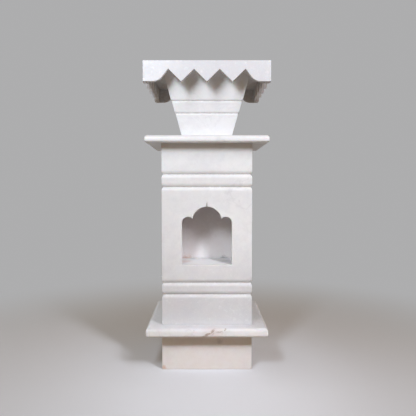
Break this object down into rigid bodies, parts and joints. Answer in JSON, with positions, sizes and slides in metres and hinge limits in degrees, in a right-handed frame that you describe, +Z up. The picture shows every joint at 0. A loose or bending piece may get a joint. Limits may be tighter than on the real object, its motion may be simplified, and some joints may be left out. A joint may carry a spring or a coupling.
{
  "type": "tulsi vrindavan planter",
  "caption": "Marble pedestal planter for a holy basil: plinth, moulded hollow shaft with a cusped lamp niche, round-edged slabs, tapered planting pot and a deck with a toothed apron.",
  "frame": {"origin": "on the ground, at the middle of the plinth, under the shaft's axis", "axes": "+Z up, and the lamp niche faces -Y, with +X to the right of someone who looks into the niche"},
  "size_m": [0.413, 0.413, 1.026],
  "materials": {
    "white_marble": "honed white marble with faint grey clouding",
    "warm_marble": "honed white marble with a pinkish cast and a little iron stain",
    "veined_marble": "honed white marble with a brown-grey vein",
    "stainless_steel": "drawn round bar"
  },
  "bodies": {
    "root": {"plinth_front": "warm_marble", "plinth_right": "warm_marble", "plinth_back": "warm_marble", "plinth_left": "warm_marble", "base_slab": "veined_marble", "shaft_front": "white_marble", "shaft_right": "white_marble", "shaft_back": "white_marble", "shaft_left": "white_marble", "niche_floor": "white_marble", "niche_top": "white_marble", "niche_back": "warm_marble", "niche_left_cheek": "white_marble", "niche_right_cheek": "white_marble", "cornice": "white_marble", "pot_front": "white_marble", "pot_right": "white_marble", "pot_back": "white_marble", "pot_left": "white_marble", "pot_floor": "white_marble", "deck": "white_marble", "apron_front": "white_marble", "apron_right": "white_marble", "apron_back": "white_marble", "apron_left": "white_marble", "lower_pins": "stainless_steel", "cornice_pins": "stainless_steel", "pot_pins": "stainless_steel", "apron_pins": "stainless_steel"}
  },
  "joints": []
}
